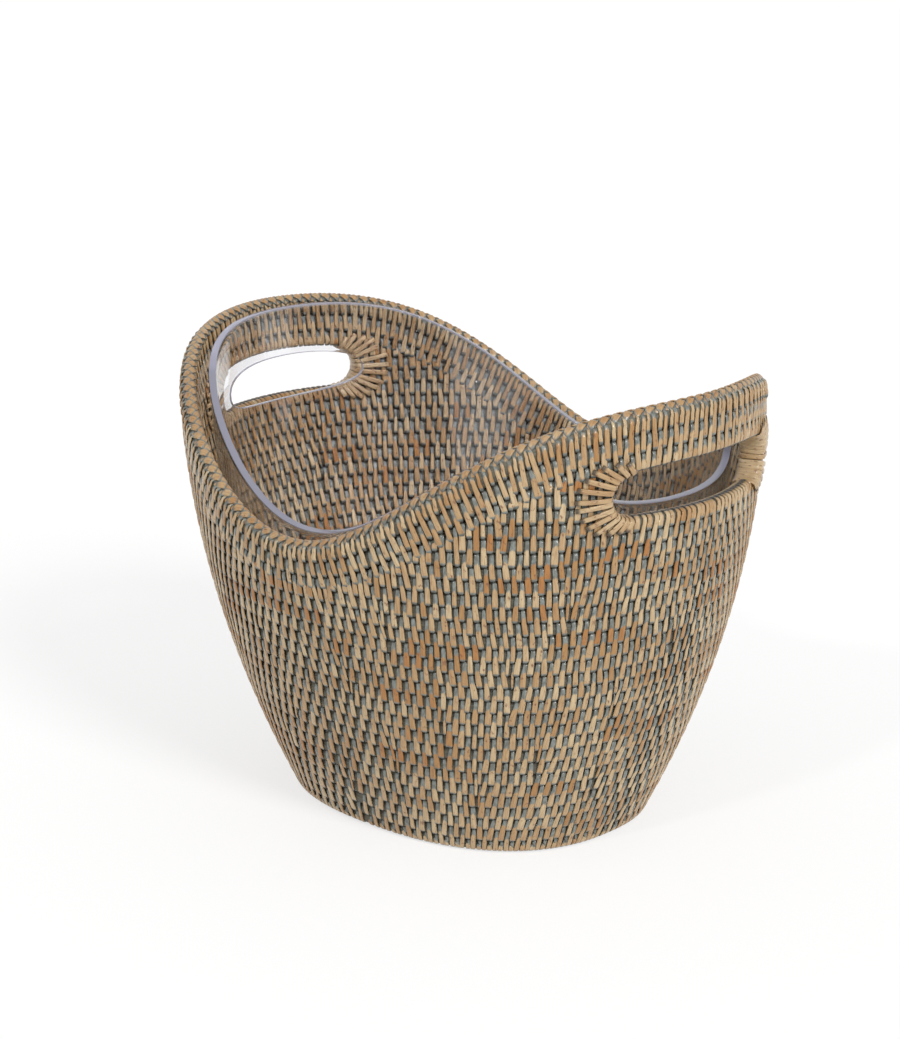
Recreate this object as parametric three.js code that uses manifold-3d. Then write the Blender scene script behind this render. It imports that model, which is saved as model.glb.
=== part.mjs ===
// Oval rattan bucket with a saddle rim, a hand hole in each high end and a clear liner that lifts out.
// Millimetres, +Z up. The origin is the middle of the base, and +X runs through the hand holes.
import * as THREE from "three";
import { mergeVertices } from "three/addons/utils/BufferGeometryUtils.js";
import Module from "manifold-3d";

// Outer face of the woven wall: a flared superellipse
const BASE_HALF_LENGTH = 115.7; // along X, at the floor
const BASE_HALF_WIDTH = 90.2; // along Y, at the floor
const TOP_HALF_LENGTH = 190; // along X, at the wall's full height
const TOP_HALF_WIDTH = 171; // along Y, if the wall went on up to its full height
const WALL_HEIGHT = 282.5; // where the flare ends
const LENGTH_BULGE = 0.745; // share of the flare along X reached at half height
const WIDTH_BULGE = 0.67; // the same along Y
const BASE_SQUARENESS = 2.34; // superellipse exponent, where 2 is an ellipse
const TOP_SQUARENESS = 1.86;

// Saddle line of the rim's top
const RIM_HIGH = 285.4; // over the hand grips
const RIM_LOW = 196.5; // halfway between them
const RIM_FULLNESS = 2.71; // how soon the rim climbs from there, where 3 gives the most level ends

// Cane courses and their binding
const COURSE_PITCH = 8.5; // from one cane to the next, upwards
const CANE_DEPTH = 9.8; // through the wall
const PEEL = 1.2; // split peel over the canes, on each face
const PLAIT_HEIGHT = 5; // plaited border on the rim
const PLAIT_WIDTH = 11;
const RIM_CANES = 2; // canes that follow the saddle, under the plait
const RIM_PITCH_LOW = 8.5; // from one rim cane to the next, at the saddle's low point
const RIM_PITCH_HIGH = 10; // the same over the hand grips, where they are thicker
const SEAT_GAP = 0.3; // left between pieces that touch
const RIM_GAP = 0.7; // left above the canes that die into the rim
const TAPER_TIP = 2; // height at which a tapered cane ends

// Hand holes
const WALL_BELOW_HOLE = 221; // as near as whole courses come to it
const WALL_BESIDE_HOLE = 25.5; // the same, up to the level ends of the grip cane
const GRIP_PITCH = 9.2; // height taken by the cane that arches over each hole
const HOLE_HALF_WIDTH = 65;
const LASHING_LENGTH = 13; // reach of the fan lashing from the hole's end
const LASHING_STEPS = 6;

// Floor and liner
const FLOOR_THICKNESS = 8.2;
const LINER_WALL = 4;
const LINER_END_GAP = 6.5; // from the woven inner face to the liner, at the high ends
const LINER_SIDE_GAP = 8; // the same at the low sides
const LINER_CORNER = 22; // radius where its wall meets its floor
const LINER_HIGH_DROP = 6.4; // how far its lip lies below the rim, at the high ends
const LINER_LOW_RISE = 2; // how far it stands above the rim, at the low sides
const LINER_FULLNESS = 2.89; // how soon the lip climbs between them, as the rim's fullness
const LINER_HOLE_MARGIN = 1; // its hand hole is smaller than the basket's by this much, above and below
const LINER_HOLE_END_MARGIN = 3; // the same at each end
const LINER_CORNER_STEPS = 4;
const LINER_WALL_STEPS = 5;
const LINER_HOLE_STEPS = 6;

// Facets
const HOOP_STEPS = 30;
const RIM_STEPS = 56;
const ARC_STEP = THREE.MathUtils.degToRad(11);
const GRIP_STEP = THREE.MathUtils.degToRad(5);
const LINER_STEPS = 48;
const SLOPE_STEP = 0.001; // radians, for measuring the rim's slope
const HALVINGS = 40; // steps of the search for where a cane ends

const CANE_HEIGHT = COURSE_PITCH - SEAT_GAP;
const CANE_INSET = PEEL + CANE_DEPTH / 2; // from the wall's outer face to a cane's middle
const WOVEN_THICKNESS = CANE_DEPTH + 2 * PEEL;
const QUARTER = Math.PI / 2;
const SILL_COURSES = Math.round(WALL_BELOW_HOLE / COURSE_PITCH);
const SIDE_COURSES = Math.round(WALL_BESIDE_HOLE / COURSE_PITCH);
const SILL_HEIGHT = SILL_COURSES * COURSE_PITCH;
const GRIP_COURSE = SILL_COURSES + SIDE_COURSES;

const washedCane = new THREE.MeshStandardMaterial({ color: 0x8d8872, roughness: 0.75, metalness: 0 });
const rattanPeel = new THREE.MeshStandardMaterial({ color: 0xb89468, roughness: 0.6, metalness: 0 });
const clearAcrylic = new THREE.MeshStandardMaterial({
  color: 0xe8ecf4,
  roughness: 0.05,
  metalness: 0,
  transparent: true,
  opacity: 0.3,
});

const wasm = await Module();
wasm.setup();
const bucket = new THREE.Group();

// Adds one named piece to the bucket.
function addPiece(name, geometry, material) {
  const piece = new THREE.Mesh(geometry, material);
  piece.name = name;
  bucket.add(piece);
}

// Share of the flare reached at a share of the height, through bulge at half height.
function flareAt(share, bulge) {
  return (4 * bulge - 1) * share + (2 - 4 * bulge) * share * share;
}

// Half axes and squareness of the wall's outer face at a height.
function wallAt(z) {
  const share = z / WALL_HEIGHT;
  return {
    x: BASE_HALF_LENGTH + (TOP_HALF_LENGTH - BASE_HALF_LENGTH) * flareAt(share, LENGTH_BULGE),
    y: BASE_HALF_WIDTH + (TOP_HALF_WIDTH - BASE_HALF_WIDTH) * flareAt(share, WIDTH_BULGE),
    squareness: BASE_SQUARENESS + (TOP_SQUARENESS - BASE_SQUARENESS) * share,
  };
}

// Signed superellipse factor of a cosine or a sine.
function rounded(value, squareness) {
  return Math.sign(value) * Math.abs(value) ** (2 / squareness);
}

// Point at an angle round the wall, inset from its outer face at wallHeight, and at its own height z.
function wallPoint(angle, wallHeight, insetX, insetY, z) {
  const wall = wallAt(wallHeight);
  return new THREE.Vector3(
    (wall.x - insetX) * rounded(Math.cos(angle), wall.squareness),
    (wall.y - insetY) * rounded(Math.sin(angle), wall.squareness),
    z,
  );
}

// Angle round the wall of a point y across the bucket.
function angleAcross(y, z) {
  const wall = wallAt(z);
  return Math.asin((y / (wall.y - CANE_INSET)) ** (wall.squareness / 2));
}

// Value at an angle of what runs as a saddle does, from high at the hand grips to low between them.
function saddleAt(angle, high, low, fullness) {
  const along = Math.abs(rounded(Math.cos(angle), TOP_SQUARENESS));
  return low + (high - low) * (fullness * along ** 2 - (fullness - 1) * along ** 3);
}

function rimAt(angle) {
  return saddleAt(angle, RIM_HIGH, RIM_LOW, RIM_FULLNESS);
}

// How much taller a level cut through the rim is than its true thickness, because the rim slopes.
function rimStretch(angle) {
  const before = wallPoint(angle - SLOPE_STEP, RIM_LOW, CANE_INSET, CANE_INSET, 0);
  const after = wallPoint(angle + SLOPE_STEP, RIM_LOW, CANE_INSET, CANE_INSET, 0);
  const rise = rimAt(angle + SLOPE_STEP) - rimAt(angle - SLOPE_STEP);
  return Math.hypot(1, rise / before.distanceTo(after));
}

// Seat at an angle under the plait and so many rim canes.
function underRimCanes(angle, canes) {
  const pitch = saddleAt(angle, RIM_PITCH_HIGH, RIM_PITCH_LOW, RIM_FULLNESS);
  return rimAt(angle) - (PLAIT_HEIGHT + canes * pitch) * rimStretch(angle);
}

function underRim(angle) {
  return underRimCanes(angle, RIM_CANES);
}

// Closed solid through a row of rings of points, as a hoop or with both ends capped.
function loft(rings, isHoop) {
  const size = rings[0].length;
  const index = [];
  const spans = isHoop ? rings.length : rings.length - 1;
  for (let i = 0; i < spans; i += 1) {
    const here = i * size;
    const next = ((i + 1) % rings.length) * size;
    for (let j = 0; j < size; j += 1) {
      const k = (j + 1) % size;
      index.push(here + j, next + j, next + k, here + j, next + k, here + k);
    }
  }
  if (!isHoop) {
    const last = (rings.length - 1) * size;
    for (let j = 1; j < size - 1; j += 1) {
      index.push(0, j, j + 1);
      index.push(last, last + j + 1, last + j);
    }
  }
  const geometry = new THREE.BufferGeometry().setFromPoints(rings.flat());
  geometry.setIndex(index);
  geometry.computeVertexNormals();
  return geometry;
}

// Six-sided section of a cane between two heights, flat above and below, with its edges in and out.
function caneSection(angle, bottom, top, depth) {
  const middle = (bottom + top) / 2;
  const corners = [
    [depth / 2, middle],
    [depth / 4, top],
    [-depth / 4, top],
    [-depth / 2, middle],
    [-depth / 4, bottom],
    [depth / 4, bottom],
  ];
  return corners.map(([out, z]) => wallPoint(angle, middle, CANE_INSET - out, CANE_INSET - out, z));
}

// Evenly spaced angles from one to another, both included.
function anglesBetween(from, to, step) {
  const steps = Math.max(1, Math.ceil(Math.abs(to - from) / step));
  return Array.from({ length: steps + 1 }, (_, i) => from + ((to - from) * i) / steps);
}

function anglesRound(steps) {
  return Array.from({ length: steps }, (_, i) => (2 * Math.PI * i) / steps);
}

// Top of a level course, pared down where the rim comes down on it.
function courseTop(course, angle) {
  return Math.min(course * COURSE_PITCH + CANE_HEIGHT, underRim(angle) - RIM_GAP);
}

// Underside of the grip cane: level at its ends, and rising with the rim over the hand hole.
function gripBottom(angle) {
  return Math.max(GRIP_COURSE * COURSE_PITCH, underRim(angle) - GRIP_PITCH);
}

// Angle from a high end's middle at which the rim's underside has come down to a height.
function rimReach(height) {
  let inside = 0;
  let outside = QUARTER;
  for (let i = 0; i < HALVINGS; i += 1) {
    const angle = (inside + outside) / 2;
    if (underRim(angle) > height) {
      inside = angle;
    } else {
      outside = angle;
    }
  }
  return inside;
}

// Angles where a level course starts to taper under the rim, and where it ends.
function courseReach(course) {
  const level = course * COURSE_PITCH + RIM_GAP;
  return { full: rimReach(level + CANE_HEIGHT), tip: rimReach(level + TAPER_TIP) };
}

// Section of a level course, at an angle from a high end's middle.
function courseSection(course, angle, turn) {
  return caneSection(angle + turn, course * COURSE_PITCH, courseTop(course, angle), CANE_DEPTH);
}

// Cane of a level course through the given angles.
function courseCane(course, angles, turn) {
  const rings = angles.map((angle) => courseSection(course, angle, turn));
  return loft(rings, false);
}

function courseName(kind, course) {
  return `${kind}_${String(course + 1).padStart(2, "0")}`;
}

const ENDS = [
  { name: "right", turn: 0 },
  { name: "left", turn: Math.PI },
];
const SIDES = [
  { name: "front", sign: -1 },
  { name: "back", sign: 1 },
];

// Floor: a woven oval slab that fills the lowest hoop.
function makeFloor() {
  const clear = PEEL + CANE_DEPTH + SEAT_GAP;
  const outline = anglesRound(HOOP_STEPS).map((angle) => {
    const point = wallPoint(angle, CANE_HEIGHT / 2, clear, clear, 0);
    return new THREE.Vector2(point.x, point.y);
  });
  return new THREE.ExtrudeGeometry(new THREE.Shape(outline), { depth: FLOOR_THICKNESS, bevelEnabled: false });
}

addPiece("woven_floor", makeFloor(), washedCane);

// Level courses: hoops up to the saddle's low point, then arcs that taper out under the rim.
for (let course = 0; course < SILL_COURSES; course += 1) {
  const isHoop = courseTop(course, QUARTER) - course * COURSE_PITCH > TAPER_TIP;
  if (isHoop) {
    // A hoop that the rim pares down has the rim's facets, so that the two stay clear of each other.
    const isPared = courseTop(course, QUARTER) < course * COURSE_PITCH + CANE_HEIGHT;
    const steps = isPared ? RIM_STEPS : HOOP_STEPS;
    const rings = anglesRound(steps).map((angle) => courseSection(course, angle, 0));
    addPiece(courseName("cane_hoop", course), loft(rings, true), washedCane);
  } else {
    const { full, tip } = courseReach(course);
    const angles = [-tip, ...anglesBetween(-full, full, ARC_STEP), tip];
    for (const end of ENDS) {
      addPiece(courseName(`${end.name}_cane_arc`, course), courseCane(course, angles, end.turn), washedCane);
    }
  }
}

// Short courses beside the hand holes, from the fan lashing to the rim.
for (let course = SILL_COURSES; course < GRIP_COURSE; course += 1) {
  const lashed = angleAcross(HOLE_HALF_WIDTH + LASHING_LENGTH + SEAT_GAP, course * COURSE_PITCH);
  const { full, tip } = courseReach(course);
  const angles = [...anglesBetween(lashed, full, ARC_STEP), tip];
  for (const end of ENDS) {
    for (const side of SIDES) {
      // The angles run the same way round on both sides, so that the faces point out.
      const run = side.sign > 0 ? angles : angles.map((angle) => -angle).reverse();
      const sideOfEnd = end.turn === 0 ? side : SIDES.find((other) => other.sign === -side.sign);
      const name = courseName(`${end.name}_${sideOfEnd.name}_short_cane`, course);
      addPiece(name, courseCane(course, run, end.turn), washedCane);
    }
  }
}

// Grip canes: one arches over each hand hole and tapers out under the rim.
const gripTip = courseReach(GRIP_COURSE).tip;
const levelFrom = rimReach(GRIP_COURSE * COURSE_PITCH + GRIP_PITCH);
const gripAngles = [-gripTip, ...anglesBetween(-levelFrom, levelFrom, GRIP_STEP), gripTip];
for (const end of ENDS) {
  const rings = gripAngles.map((angle) =>
    caneSection(angle + end.turn, gripBottom(angle), underRim(angle) - RIM_GAP, CANE_DEPTH),
  );
  addPiece(`${end.name}_grip_cane`, loft(rings, false), washedCane);
}

// Top of a fan lashing, under the grip cane, at a distance across the bucket.
function lashingTop(across) {
  return gripBottom(angleAcross(across, SILL_HEIGHT)) - RIM_GAP;
}

// Fan lashing: binds the wall's edge at one end of a hand hole, hollowed to the hole's round end.
function makeLashing(turn, sign) {
  const nearTop = lashingTop(HOLE_HALF_WIDTH);
  const farTop = lashingTop(HOLE_HALF_WIDTH + LASHING_LENGTH);
  const radius = (nearTop - SILL_HEIGHT) / 2;
  const faces = [PEEL, PEEL + CANE_DEPTH];
  const rings = Array.from({ length: LASHING_STEPS + 1 }, (_, i) => {
    const share = i / LASHING_STEPS;
    const nearHeight = SILL_HEIGHT + (nearTop - SILL_HEIGHT) * share;
    const farHeight = SILL_HEIGHT + (farTop - SILL_HEIGHT) * share;
    const fromMiddle = radius * (2 * share - 1);
    const holeEnd = HOLE_HALF_WIDTH - radius + Math.sqrt(radius ** 2 - fromMiddle ** 2);
    const near = sign * angleAcross(holeEnd, nearHeight) + turn;
    const far = sign * angleAcross(HOLE_HALF_WIDTH + LASHING_LENGTH, farHeight) + turn;
    const nearEdge = faces.map((inset) => wallPoint(near, nearHeight, inset, inset, nearHeight));
    const farEdge = faces.map((inset) => wallPoint(far, farHeight, inset, inset, farHeight));
    const ring = [nearEdge[0], farEdge[0], farEdge[1], nearEdge[1]];
    return sign > 0 ? ring.reverse() : ring;
  });
  return loft(rings, false);
}

for (const end of ENDS) {
  for (const side of SIDES) {
    const sign = end.turn === 0 ? side.sign : -side.sign;
    addPiece(`${end.name}_${side.name}_fan_lashing`, makeLashing(end.turn, sign), rattanPeel);
  }
}

// Rim canes: full hoops that follow the saddle under the plait.
for (let cane = 0; cane < RIM_CANES; cane += 1) {
  const rings = anglesRound(RIM_STEPS).map((angle) => {
    const bottom = underRimCanes(angle, cane + 1) + SEAT_GAP * rimStretch(angle);
    return caneSection(angle, bottom, underRimCanes(angle, cane), CANE_DEPTH);
  });
  addPiece(courseName("rim_cane", cane), loft(rings, true), washedCane);
}

// Plaited border along the top of the upper rim cane.
const plaitRings = anglesRound(RIM_STEPS).map((angle) => {
  const bottom = underRimCanes(angle, 0) + SEAT_GAP * rimStretch(angle);
  return caneSection(angle, bottom, rimAt(angle), PLAIT_WIDTH);
});
addPiece("rim_plait", loft(plaitRings, true), rattanPeel);

// Manifold solid of a closed geometry.
function toSolid(geometry) {
  const bare = geometry.clone();
  bare.deleteAttribute("normal");
  bare.deleteAttribute("uv");
  const merged = mergeVertices(bare);
  const mesh = new wasm.Mesh({
    numProp: 3,
    vertProperties: new Float32Array(merged.getAttribute("position").array),
    triVerts: new Uint32Array(merged.getIndex().array),
  });
  return new wasm.Manifold(mesh);
}

// Geometry of a manifold solid.
function toGeometry(solid) {
  const mesh = solid.getMesh();
  const geometry = new THREE.BufferGeometry();
  geometry.setAttribute("position", new THREE.BufferAttribute(mesh.vertProperties, mesh.numProp));
  geometry.setIndex(new THREE.BufferAttribute(mesh.triVerts, 1));
  geometry.computeVertexNormals();
  return geometry;
}

// One ring of the liner, at a share of the way up from the top of its corner to its lip.
function linerWallRing(share, inset, floorHeight, corner) {
  return anglesRound(LINER_STEPS).map((angle) => {
    const lip = saddleAt(angle, RIM_HIGH - LINER_HIGH_DROP, RIM_LOW + LINER_LOW_RISE, LINER_FULLNESS);
    const start = floorHeight + corner;
    const z = start + (lip - start) * share;
    return wallPoint(angle, z, LINER_END_GAP + inset, LINER_SIDE_GAP + inset, z);
  });
}

// Rings of the rounded corner between the liner's floor and its wall, floor first.
function linerCornerRings(inset, floorHeight, corner) {
  return Array.from({ length: LINER_CORNER_STEPS }, (_, i) => {
    const turn = (QUARTER * i) / LINER_CORNER_STEPS;
    const z = floorHeight + corner * (1 - Math.cos(turn));
    const drawnIn = inset + corner * (1 - Math.sin(turn));
    return anglesRound(LINER_STEPS).map((angle) =>
      wallPoint(angle, floorHeight + corner, LINER_END_GAP + drawnIn, LINER_SIDE_GAP + drawnIn, z),
    );
  });
}

// Half of the liner's shell, floor first: the inner or the outer face.
function linerFace(inset, floorHeight, corner) {
  const wall = Array.from({ length: LINER_WALL_STEPS + 1 }, (_, i) =>
    linerWallRing(i / LINER_WALL_STEPS, inset, floorHeight, corner),
  );
  return [...linerCornerRings(inset, floorHeight, corner), ...wall];
}

// Prism through one high end, with the outline of the liner's hand hole.
function handHoleCutter(turn) {
  const bottom = SILL_HEIGHT + LINER_HOLE_MARGIN;
  const top = gripBottom(0) - LINER_HOLE_MARGIN;
  const radius = (top - bottom) / 2;
  const straight = HOLE_HALF_WIDTH - LINER_HOLE_END_MARGIN - radius;
  const outline = new THREE.Shape();
  outline.absarc(straight, 0, radius, -QUARTER, QUARTER);
  outline.absarc(-straight, 0, radius, QUARTER, 3 * QUARTER);
  const prism = new THREE.ExtrudeGeometry(outline, {
    depth: TOP_HALF_LENGTH,
    bevelEnabled: false,
    curveSegments: LINER_HOLE_STEPS,
  });
  const across = new THREE.Vector3(0, 1, 0);
  const up = new THREE.Vector3(0, 0, 1);
  const out = new THREE.Vector3(1, 0, 0);
  prism.applyMatrix4(new THREE.Matrix4().makeBasis(across, up, out));
  prism.translate(BASE_HALF_LENGTH / 2, 0, bottom + radius);
  return prism.rotateZ(turn);
}

// Liner: a clear moulded bucket that stands on the woven floor, with hand holes in line with the basket's.
function makeLiner() {
  const standing = FLOOR_THICKNESS + SEAT_GAP;
  const inner = linerFace(WOVEN_THICKNESS + LINER_WALL, standing + LINER_WALL, LINER_CORNER - LINER_WALL);
  const outer = linerFace(WOVEN_THICKNESS, standing, LINER_CORNER);
  let solid = toSolid(loft([...inner, ...outer.reverse()], false));
  for (const end of ENDS) {
    solid = solid.subtract(toSolid(handHoleCutter(end.turn)));
  }
  return toGeometry(solid);
}

addPiece("clear_liner", makeLiner(), clearAcrylic);

export default bucket;
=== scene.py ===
import bpy
import numpy as np
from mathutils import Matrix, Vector


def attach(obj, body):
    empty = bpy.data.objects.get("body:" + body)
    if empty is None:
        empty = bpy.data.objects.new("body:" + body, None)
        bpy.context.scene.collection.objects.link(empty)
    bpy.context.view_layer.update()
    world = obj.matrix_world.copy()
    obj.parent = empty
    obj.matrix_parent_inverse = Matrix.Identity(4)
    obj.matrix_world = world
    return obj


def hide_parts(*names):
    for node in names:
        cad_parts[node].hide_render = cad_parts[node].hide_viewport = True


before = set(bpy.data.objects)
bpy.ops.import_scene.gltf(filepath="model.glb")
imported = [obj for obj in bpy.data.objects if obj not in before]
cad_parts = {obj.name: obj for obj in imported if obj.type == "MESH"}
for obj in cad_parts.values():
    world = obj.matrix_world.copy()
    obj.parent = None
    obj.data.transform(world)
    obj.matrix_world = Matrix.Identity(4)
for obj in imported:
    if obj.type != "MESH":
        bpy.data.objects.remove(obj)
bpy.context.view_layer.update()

# Base ovals
# The base is the start of the coil: ovals of rattan cane that lie flat inside one another, under the liner.
# Each was bent round the last one and bound to it, and the outermost is bound to the lowest hoop of the wall.
BASE_HALF_LENGTH = 0.1157
BASE_HALF_WIDTH = 0.0902
TOP_HALF_LENGTH = 0.190
TOP_HALF_WIDTH = 0.171
WALL_HEIGHT = 0.2825
LENGTH_BULGE = 0.745
WIDTH_BULGE = 0.67
BASE_SQUARENESS = 2.34
TOP_SQUARENESS = 1.86
CANE_INSET = 0.0061
CANE_HALF_DEPTH = 0.0041
CANE_SQUARENESS = 3.2
CANE_CORNERS = 12
OVAL_COUNT = 10
OVAL_PITCH = 0.0081
OVAL_MIDDLE = 0.0042
OVAL_HALF_HEIGHT = 0.0032
OVAL_STEPS = 96


def wall_half_axes(height):
    """Half length, half width and squareness of the wall's outer face: each half axis grows from base to top
    by a quadratic flare that passes through its bulge at half height, and the squareness changes evenly."""
    share = height / WALL_HEIGHT
    long_flare = (4 * LENGTH_BULGE - 1) * share + (2 - 4 * LENGTH_BULGE) * share**2
    wide_flare = (4 * WIDTH_BULGE - 1) * share + (2 - 4 * WIDTH_BULGE) * share**2
    half_length = BASE_HALF_LENGTH + (TOP_HALF_LENGTH - BASE_HALF_LENGTH) * long_flare
    half_width = BASE_HALF_WIDTH + (TOP_HALF_WIDTH - BASE_HALF_WIDTH) * wide_flare
    return half_length, half_width, BASE_SQUARENESS + (TOP_SQUARENESS - BASE_SQUARENESS) * share


def superellipse(angle, squareness):
    """Cosine and sine of an angle, each to the power of two over the squareness, with its sign kept."""
    cosine, sine = np.cos(angle), np.sin(angle)
    power = 2 / squareness
    return np.sign(cosine) * np.abs(cosine) ** power, np.sign(sine) * np.abs(sine) ** power


cane_out, cane_up = superellipse(np.arange(CANE_CORNERS) * 2 * np.pi / CANE_CORNERS, CANE_SQUARENESS)
cane_power = 2 / CANE_SQUARENESS


def wall_point(angle, height, inset, z, side_inset=0.0):
    """Point at an angle round the wall, inset from its outer face as it is at a height, and lifted to z.
    The side inset is added across the bucket alone."""
    half_length, half_width, squareness = wall_half_axes(height)
    along, across = superellipse(angle, squareness)
    x = (half_length - inset) * along
    y = (half_width - inset - side_inset) * across
    return np.stack(np.broadcast_arrays(x, y, z), axis=-1)


def cane_points(angle, height, inset, middle, half_height, half_depth):
    """Superellipse sections of a cane, one at each angle: depth runs through the wall, and height up it."""
    height, middle, half_height, half_depth = (
        np.broadcast_to(value, angle.shape)[:, None] for value in (height, middle, half_height, half_depth)
    )
    return wall_point(angle[:, None], height, inset - cane_out * half_depth, middle + cane_up * half_height)


def sweep_faces(count, stations, corners, is_ring):
    """Quads between neighbouring stations of several swept sections, and end caps where they aren't rings."""
    first = np.arange(count)[:, None, None] * stations * corners
    station = np.arange(stations if is_ring else stations - 1)[None, :, None]
    corner = np.arange(corners)[None, None, :]
    here = first + station * corners
    there = first + (station + 1) % stations * corners
    after = (corner + 1) % corners
    quads = np.stack([here + corner, there + corner, there + after, here + after], axis=-1).reshape(-1, 4)
    if is_ring:
        return [quads]
    start_caps = first[:, 0] + np.arange(corners)
    end_caps = first[:, 0] + (stations - 1) * corners + np.arange(corners)[::-1]
    return [quads, start_caps, end_caps]


def add_piece(name, points, faces, body, slot, material, **attributes):
    """Smooth mesh of points and of arrays of faces with equal corner counts, with vectors on its points."""
    corners = np.concatenate([face.ravel() for face in faces])
    sizes = np.concatenate([np.full(len(face), face.shape[1]) for face in faces])
    mesh = bpy.data.meshes.new(name)
    mesh.vertices.add(points.size // 3)
    mesh.vertices.foreach_set("co", points.astype(np.float32).ravel())
    mesh.loops.add(len(corners))
    mesh.loops.foreach_set("vertex_index", corners.astype(np.int32))
    mesh.polygons.add(len(sizes))
    mesh.polygons.foreach_set("loop_start", (np.cumsum(sizes) - sizes).astype(np.int32))
    mesh.polygons.foreach_set("use_smooth", np.ones(len(sizes), bool))
    for attribute, values in attributes.items():
        layer = mesh.attributes.new(attribute, "FLOAT_VECTOR", "POINT")
        layer.data.foreach_set("vector", values.astype(np.float32).ravel())
    mesh.update(calc_edges=True)
    mesh.materials.append(material)
    piece = bpy.data.objects.new(name, mesh)
    bpy.context.scene.collection.objects.link(piece)
    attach(piece, body)
    return piece


def linear(hex_colour):
    """Linear colour of an sRGB hex value: each channel through the sRGB curve."""
    channels = [int(hex_colour[i : i + 2], 16) / 255 for i in (0, 2, 4)]
    return [c / 12.92 if c <= 0.04045 else ((c + 0.055) / 1.055) ** 2.4 for c in channels] + [1.0]


def new_material(name):
    """Empty node material, with its output node."""
    material = bpy.data.materials.new(name)
    material.use_nodes = True
    material.node_tree.nodes.clear()
    return material, add_node(material, "ShaderNodeOutputMaterial", {})


def add_node(material, kind, inputs, **settings):
    """Adds a node with its settings, and sets or links each input that is named or numbered."""
    node = material.node_tree.nodes.new(kind)
    for name, value in settings.items():
        setattr(node, name, value)
    for name, value in inputs.items():
        if isinstance(value, bpy.types.NodeSocket):
            material.node_tree.links.new(value, node.inputs[name])
        else:
            node.inputs[name].default_value = value
    return node


def mesh_vector(material, name):
    """Socket of the vector that the points of a mesh hold under a name."""
    return add_node(material, "ShaderNodeAttribute", {}, attribute_name=name).outputs["Vector"]


def stretched(material, vector, factors):
    """Socket of a vector with each of its parts multiplied by a factor."""
    inputs = {0: vector, 1: factors}
    return add_node(material, "ShaderNodeVectorMath", inputs, operation="MULTIPLY").outputs[0]


def noise(material, vector, detail, scale=1.0):
    """Socket of soft noise at a vector, with so many finer layers in it."""
    inputs = {"Vector": vector, "Scale": scale, "Detail": detail}
    return add_node(material, "ShaderNodeTexNoise", inputs).outputs[0]


def ramp(material, value, span, first=0.0, last=1.0):
    """Socket that goes evenly from first to last while a value goes through a span, and no further."""
    inputs = {0: value, 1: span[0], 2: span[1], 3: first, 4: last}
    return add_node(material, "ShaderNodeMapRange", inputs).outputs[0]


def blend(material, share, first, second, **settings):
    """Socket of a colour that is a share of the way from the first to the second."""
    inputs = {0: share, 6: first, 7: second}
    return add_node(material, "ShaderNodeMix", inputs, data_type="RGBA", **settings).outputs[2]


def maths(material, operation, *values):
    """Socket of the result of one operation on two or three values."""
    return add_node(material, "ShaderNodeMath", dict(enumerate(values)), operation=operation).outputs[0]


def bump(material, height, strength, distance):
    """Socket of the directions of a surface that a height makes uneven."""
    inputs = {"Height": height, "Strength": strength, "Distance": distance}
    return add_node(material, "ShaderNodeBump", inputs).outputs[0]


# Rattan core, peeled and washed grey: dull, with long fibres that show as fine lines along the cane.
CANE_DARK = "4c4a40"
CANE_GREY = "6f6d62"
CANE_STRAW = "7b735a"
CANE_FIBRE_LENGTH = 0.014
CANE_FIBRE_WIDTH = 0.0009  # real fibres are thinner, but would not show
CANE_PATCH_LENGTH = 0.030
CANE_PATCH_WIDTH = 0.012
CANE_SEED_STEP = 41.0  # noise cells between one cane's seed and the next
CANE_DETAIL = 2.0
CANE_LINE_NOISE = (0.32, 0.68)  # noise from which the lines go from dark to grey
STRAW_NOISE = (0.5, 0.75)
STRAW_MOST = 0.7
CANE_LINE_RELIEF = 0.6
CANE_LINE_HEIGHT = 0.0004
CANE_ROUGHNESS = 0.7
washed_cane, output = new_material("washed_rattan_core")
place = mesh_vector(washed_cane, "cane_place")
fibre_size = (1 / CANE_FIBRE_LENGTH, 1 / CANE_FIBRE_WIDTH, CANE_SEED_STEP)
lines = noise(washed_cane, stretched(washed_cane, place, fibre_size), CANE_DETAIL)
patch_size = (1 / CANE_PATCH_LENGTH, 1 / CANE_PATCH_WIDTH, CANE_SEED_STEP)
patches = noise(washed_cane, stretched(washed_cane, place, patch_size), CANE_DETAIL)
line_share = ramp(washed_cane, lines, CANE_LINE_NOISE)
grey = blend(washed_cane, line_share, linear(CANE_DARK), linear(CANE_GREY))
straw_share = ramp(washed_cane, patches, STRAW_NOISE, 0.0, STRAW_MOST)
cane_colour = blend(washed_cane, straw_share, grey, linear(CANE_STRAW))
relief = bump(washed_cane, lines, CANE_LINE_RELIEF, CANE_LINE_HEIGHT)
shader = add_node(
    washed_cane,
    "ShaderNodeBsdfPrincipled",
    {"Base Color": cane_colour, "Roughness": CANE_ROUGHNESS, "Normal": relief},
)
washed_cane.node_tree.links.new(shader.outputs[0], output.inputs[0])


def cane_places(points, seed):
    """Per point of a cane: metres along it, metres round its section, and its seed."""
    middles = points.mean(axis=1)
    steps = np.linalg.norm(np.diff(middles, axis=0), axis=1)
    along = np.concatenate([[0], np.cumsum(steps)])[:, None]
    around = np.arange(CANE_CORNERS)[None, :] * 2 * np.pi * CANE_HALF_DEPTH / CANE_CORNERS
    return np.stack(np.broadcast_arrays(along, around, seed), axis=-1)


def add_canes(name, points, seeds, is_ring):
    """Piece of one or more canes of equal step counts, each with its seed."""
    places = [cane_places(cane, seed) for cane, seed in zip(points, seeds)]
    faces = sweep_faces(len(points), points.shape[1], CANE_CORNERS, is_ring)
    return add_piece(name, points, faces, "basket", "cane", washed_cane, cane_place=np.stack(places))


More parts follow.
